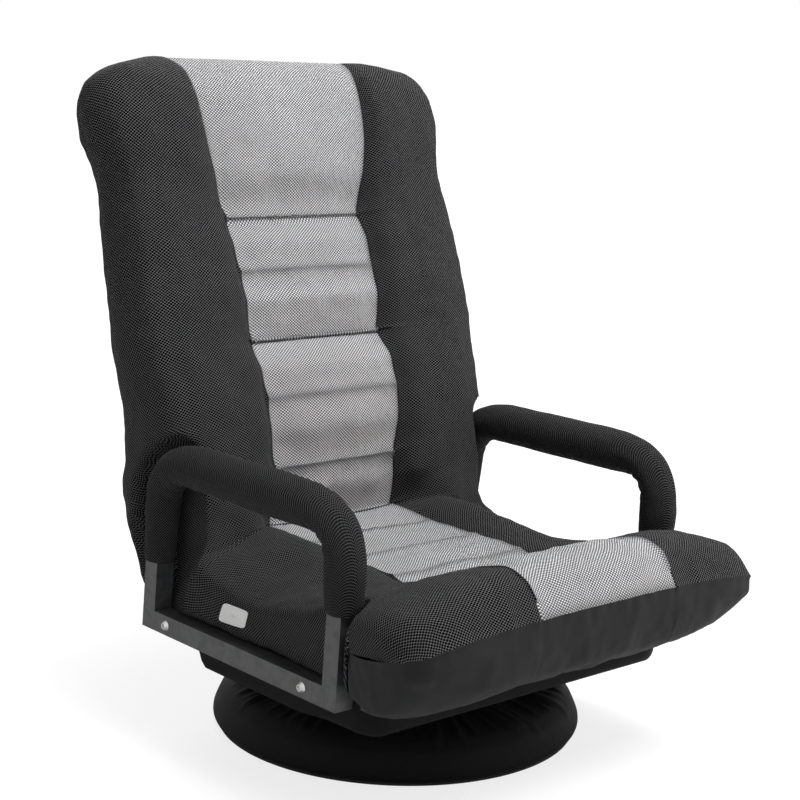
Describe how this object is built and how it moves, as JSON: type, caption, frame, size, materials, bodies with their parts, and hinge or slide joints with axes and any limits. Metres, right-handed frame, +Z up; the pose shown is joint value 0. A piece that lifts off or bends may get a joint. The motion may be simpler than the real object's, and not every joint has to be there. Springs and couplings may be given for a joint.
{
  "type": "floor chair",
  "caption": "Low swivel floor chair with a reclining cushioned back, channelled mesh seat, padded loop arms on bent square tube, and a round cloth-covered base.",
  "frame": {"origin": "on the floor, at the swivel axis", "axes": "+Z up along the swivel axis, the sitter faces -Y, so +X is the sitter's left; the seat is stored facing straight ahead with the back in its most upright notch"},
  "size_m": [0.4992, 0.6317, 0.731],
  "materials": {
    "base_cloth": "matte",
    "grey_mesh": "matte",
    "black_mesh": "matte",
    "black_cloth": "matte",
    "white_cloth": "matte",
    "webbing": "matte",
    "foam": "matte",
    "grey_paint": "satin",
    "black_paint": "satin",
    "zinc": "satin",
    "steel": "satin",
    "rubber": "matte",
    "nylon": "matte"
  },
  "bodies": {
    "base": {"base_ring_tube": "black_paint", "floor_ring": "rubber", "base_pan": "black_paint", "base_cover": "base_cloth", "lower_swivel_plate": "zinc", "swivel_balls": "steel", "ball_cage": "nylon", "swivel_pivot": "steel", "base_bolts": "zinc"},
    "seat": {"upper_swivel_plate": "zinc", "swivel_bolts": "zinc", "cross_bars": "black_paint", "seat_frame": "black_paint", "seat_webbing": "webbing", "seat_tray": "black_cloth", "arm_frame_r": "grey_paint", "arm_frame_l": "grey_paint", "arm_foam_r": "foam", "arm_foam_l": "foam", "arm_sleeve_r": "black_mesh", "arm_sleeve_l": "black_mesh", "arm_bolts": "zinc", "hinge_plate_r": "black_paint", "hinge_plate_l": "black_paint", "hinge_pins": "steel", "pawl_pins": "steel", "seat_foam": "foam", "seat_front_border": "black_cloth", "seat_center_panel": "grey_mesh", "seat_side_cover_r": "black_mesh", "seat_side_cover_l": "black_mesh", "side_tag": "white_cloth"},
    "back": {"back_frame": "black_paint", "back_webbing": "webbing", "hinge_sector_r": "zinc", "hinge_sector_l": "zinc", "back_foam": "foam", "back_center_panel": "grey_mesh", "back_rear_cover": "black_mesh", "back_bolster_r": "black_mesh", "back_bolster_l": "black_mesh", "back_roll_foam": "foam", "back_roll_cover": "black_mesh"},
    "pawl_r": {"pawl_lever_r": "zinc", "pawl_spring_r": "steel"},
    "pawl_l": {"pawl_lever_l": "zinc", "pawl_spring_l": "steel"}
  },
  "joints": [
    {"name": "swivel", "type": "hinge", "parent": "base", "child": "seat", "pos_m": [0, 0, 0.069], "axis": [0, 0, 1], "continuous": true},
    {"name": "recline", "type": "hinge", "parent": "seat", "child": "back", "pos_m": [0, 0.118, 0.14], "axis": [-1, 0, 0], "range_deg": [-6, 72]},
    {"name": "pawl_lift_r", "type": "hinge", "parent": "seat", "child": "pawl_r", "pos_m": [-0.1867, 0.0657, 0.1295], "axis": [1, 0, 0], "range_deg": [0, 8], "stiffness_Nm_per_rad": 0.05, "springref_deg": -11.46},
    {"name": "pawl_lift_l", "type": "hinge", "parent": "seat", "child": "pawl_l", "pos_m": [0.1867, 0.0657, 0.1295], "axis": [1, 0, 0], "range_deg": [0, 8], "stiffness_Nm_per_rad": 0.05, "springref_deg": -11.46}
  ]
}
